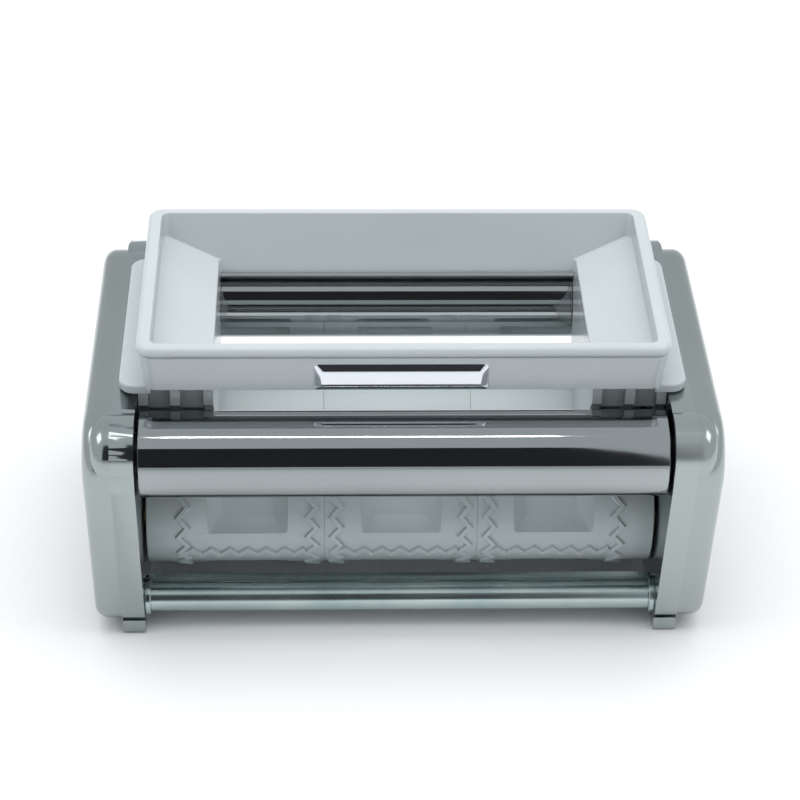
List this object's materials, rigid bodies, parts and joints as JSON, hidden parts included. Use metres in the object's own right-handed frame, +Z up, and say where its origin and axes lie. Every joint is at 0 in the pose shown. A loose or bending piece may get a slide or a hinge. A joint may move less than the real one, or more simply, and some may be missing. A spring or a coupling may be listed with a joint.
{
  "type": "ravioli maker",
  "caption": "Tabletop ravioli maker: chromed side covers and dough guides, a white filling hopper, and pocketed forming rollers geared together and turned by a crank.",
  "frame": {"origin": "on the table, midway between the side frames and below the nip of the two rollers", "axes": "+X along the rollers to the crank side, +Y to the back, +Z up"},
  "size_m": [0.206, 0.1272, 0.1105],
  "materials": {
    "cover_chrome": "polished, slightly smudged",
    "frame_chrome": "polished",
    "guide_chrome": "mirror polished",
    "plate_chrome": "mirror polished",
    "zinc_steel": "zinc plated",
    "plain_steel": "turned and ground",
    "gear_steel": "machined, lightly greased",
    "bush_bronze": "sintered",
    "roller_white": "moulded, satin",
    "hopper_white": "moulded, glossy",
    "plug_black": "moulded"
  },
  "bodies": {
    "frame": {"left_side_frame": "frame_chrome", "right_side_frame": "frame_chrome", "left_outer_cover": "cover_chrome", "right_outer_cover": "cover_chrome", "left_frame_nuts": "plain_steel", "right_frame_nuts": "plain_steel", "left_cover_pillars": "plain_steel", "right_cover_pillars": "plain_steel", "left_cover_screws": "plain_steel", "right_cover_screws": "plain_steel", "front_guide_tube": "guide_chrome", "rear_guide_tube": "guide_chrome", "front_guide_plugs": "plug_black", "rear_guide_plugs": "plug_black", "front_guide_rod": "plain_steel", "rear_guide_rod": "plain_steel", "front_tie_bar": "zinc_steel", "rear_tie_bar": "zinc_steel", "front_deflector": "zinc_steel", "rear_deflector": "zinc_steel", "front_roller_bushes": "bush_bronze", "rear_roller_bushes": "bush_bronze"},
    "front_roller": {"front_roller_shaft": "plain_steel", "front_shaft_clips": "plain_steel", "front_gear": "gear_steel", "front_roller_left_segment": "roller_white", "front_roller_middle_segment": "roller_white", "front_roller_right_segment": "roller_white", "front_roller_left_ridges": "roller_white", "front_roller_middle_ridges": "roller_white", "front_roller_right_ridges": "roller_white"},
    "rear_roller": {"rear_roller_shaft": "plain_steel", "rear_shaft_clips": "plain_steel", "rear_gear": "gear_steel", "rear_roller_left_segment": "roller_white", "rear_roller_middle_segment": "roller_white", "rear_roller_right_segment": "roller_white"},
    "hopper": {"hopper": "hopper_white", "hopper_cheeks": "hopper_white", "nameplate": "plate_chrome"}
  },
  "joints": [
    {"name": "front_roller_spin", "type": "hinge", "parent": "frame", "child": "front_roller", "pos_m": [0, -0.021, 0.031], "axis": [1, 0, 0], "continuous": true},
    {"name": "rear_roller_spin", "type": "hinge", "parent": "frame", "child": "rear_roller", "pos_m": [0, 0.021, 0.031], "axis": [1, 0, 0], "continuous": true},
    {"name": "hopper_lift", "type": "slide", "parent": "frame", "child": "hopper", "axis": [0, 0, 1], "range_m": [0, 0.055]}
  ],
  "couplings": [
    {"joint": "rear_roller_spin", "follows": "front_roller_spin", "ratio": -1}
  ]
}
